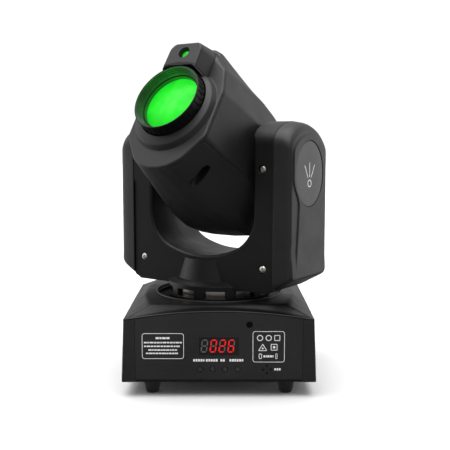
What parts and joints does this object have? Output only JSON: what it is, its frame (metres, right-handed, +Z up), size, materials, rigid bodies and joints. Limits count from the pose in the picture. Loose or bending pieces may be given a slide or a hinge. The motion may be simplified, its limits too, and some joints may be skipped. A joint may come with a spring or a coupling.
{
  "type": "moving head light",
  "caption": "Small stage light: a square base on rubber feet carries a panning U-shaped yoke that holds a long, many-sided tilting head with a ringed lens.",
  "frame": {"origin": "on the pan axis, in the underside of the steel bottom tray, at the centre of its four bracket holes", "axes": "+Z up along the pan axis, -Y towards the base's front panel, +X to the right as seen from the front"},
  "size_m": [0.1832, 0.1658, 0.2908],
  "materials": {
    "shell_black": "fine grain moulded black",
    "cover_black": "fine grain moulded charcoal",
    "panel_black": "fine grain painted black",
    "display_dark": "smoked red window",
    "key_black": "moulded black",
    "window_dark": "smoked infrared window",
    "board_green": "solder mask",
    "tray_steel": "black powder coat",
    "rubber": "matt",
    "screw_zinc": "bright nickel",
    "connector_black": "moulded black",
    "plated_steel": "zinc plated",
    "bearing_steel": "ground steel",
    "belt_rubber": "matt",
    "aluminium": "turned",
    "motor_steel": "black laminated stack",
    "badge_black": "satin",
    "ring_black": "satin moulded",
    "lens_glass": "clear, green lit",
    "aperture_green": "translucent, green lit",
    "filter_glass": "dichroic coating",
    "wheel_aluminium": "black anodised",
    "fan_plastic": "moulded black"
  },
  "bodies": {
    "base": {"top_cover": "shell_black", "side_shell_left": "shell_black", "side_shell_right": "shell_black", "front_panel": "panel_black", "rear_panel": "panel_black", "display": "display_dark", "remote_window": "window_dark", "control_board": "board_green", "base_tray": "tray_steel", "rubber_feet": "rubber", "base_screws": "screw_zinc", "power_inlet": "connector_black", "signal_in": "plated_steel", "signal_out": "plated_steel", "power_supply": "board_green", "pan_bridge": "plated_steel", "slew_ring_outer": "bearing_steel", "pan_motor": "motor_steel", "pan_belt": "belt_rubber"},
    "yoke": {"yoke_shell_front": "shell_black", "yoke_shell_rear": "shell_black", "yoke_screws": "screw_zinc", "yoke_chassis": "plated_steel", "arm_cover_right": "cover_black", "arm_cover_left": "cover_black", "arm_badges": "badge_black", "turntable_collar": "shell_black", "pan_shaft": "aluminium", "pan_pulley": "aluminium", "tilt_motor": "motor_steel", "tilt_belt": "belt_rubber", "tilt_bearings": "bearing_steel"},
    "head": {"head_cover_lower": "shell_black", "head_cover_upper": "shell_black", "head_screws": "screw_zinc", "head_bezel": "shell_black", "aperture_window": "aperture_green", "rear_cap": "shell_black", "optics_frame": "plated_steel", "colour_motor": "motor_steel", "gobo_motor": "motor_steel", "led_module": "aluminium", "heat_sink": "aluminium", "fan_frame": "fan_plastic", "tilt_axle_right": "aluminium", "tilt_axle_left": "aluminium", "tilt_pulley": "aluminium"},
    "focus_ring": {"focus_ring": "ring_black"},
    "lens": {"lens_barrel": "aluminium", "front_lens": "lens_glass"},
    "colour_wheel": {"colour_wheel": "wheel_aluminium", "colour_filters": "filter_glass"},
    "gobo_wheel": {"gobo_wheel": "wheel_aluminium"},
    "fan_rotor": {"fan_rotor": "fan_plastic"},
    "pan_motor_pulley": {"pan_motor_pulley": "aluminium"},
    "tilt_motor_pulley": {"tilt_motor_pulley": "aluminium"},
    "key_1": {"key_1": "key_black"},
    "key_2": {"key_2": "key_black"},
    "key_3": {"key_3": "key_black"},
    "key_4": {"key_4": "key_black"}
  },
  "joints": [
    {"name": "pan", "type": "hinge", "parent": "base", "child": "yoke", "pos_m": [0, 0, 0.07], "axis": [0, 0, 1], "range_deg": [-235, 305]},
    {"name": "tilt", "type": "hinge", "parent": "yoke", "child": "head", "pos_m": [0, 0, 0.1696], "axis": [-0.8192, 0.5736, 0], "range_deg": [-58, 144]},
    {"name": "focus_turn", "type": "hinge", "parent": "head", "child": "focus_ring", "pos_m": [-0.03474, -0.04961, 0.22323], "axis": [-0.481, -0.687, 0.5446], "range_deg": [-90, 90]},
    {"name": "focus_slide", "type": "slide", "parent": "head", "child": "lens", "axis": [-0.481, -0.687, 0.5446], "range_m": [-0.0016, 0.0016]},
    {"name": "colour_turn", "type": "hinge", "parent": "head", "child": "colour_wheel", "pos_m": [-0.01164, -0.01662, 0.17324], "axis": [-0.481, -0.687, 0.5446], "continuous": true},
    {"name": "gobo_turn", "type": "hinge", "parent": "head", "child": "gobo_wheel", "pos_m": [-0.00107, -0.00152, 0.20896], "axis": [-0.481, -0.687, 0.5446], "continuous": true},
    {"name": "fan_spin", "type": "hinge", "parent": "head", "child": "fan_rotor", "pos_m": [0.01549, 0.02212, 0.1616], "axis": [-0.481, -0.687, 0.5446], "continuous": true},
    {"name": "pan_motor_spin", "type": "hinge", "parent": "base", "child": "pan_motor_pulley", "pos_m": [0.054, 0.038, 0.037], "axis": [0, 0, 1], "range_deg": [-1180, 1530]},
    {"name": "tilt_motor_spin", "type": "hinge", "parent": "yoke", "child": "tilt_motor_pulley", "pos_m": [0.06676, -0.04675, 0.115], "axis": [-0.8192, 0.5736, 0], "range_deg": [-235, 580]},
    {"name": "key_1_press", "type": "slide", "parent": "base", "child": "key_1", "axis": [0, 1, 0], "range_m": [0, 0.001], "stiffness_N_per_m": 150, "springref_m": -0.002},
    {"name": "key_2_press", "type": "slide", "parent": "base", "child": "key_2", "axis": [0, 1, 0], "range_m": [0, 0.001], "stiffness_N_per_m": 150, "springref_m": -0.002},
    {"name": "key_3_press", "type": "slide", "parent": "base", "child": "key_3", "axis": [0, 1, 0], "range_m": [0, 0.001], "stiffness_N_per_m": 150, "springref_m": -0.002},
    {"name": "key_4_press", "type": "slide", "parent": "base", "child": "key_4", "axis": [0, 1, 0], "range_m": [0, 0.001], "stiffness_N_per_m": 150, "springref_m": -0.002}
  ],
  "couplings": [
    {"joint": "focus_slide", "follows": "focus_turn", "m_per_rad": 0.00095493},
    {"joint": "pan_motor_spin", "follows": "pan", "ratio": 5},
    {"joint": "tilt_motor_spin", "follows": "tilt", "ratio": 4}
  ]
}
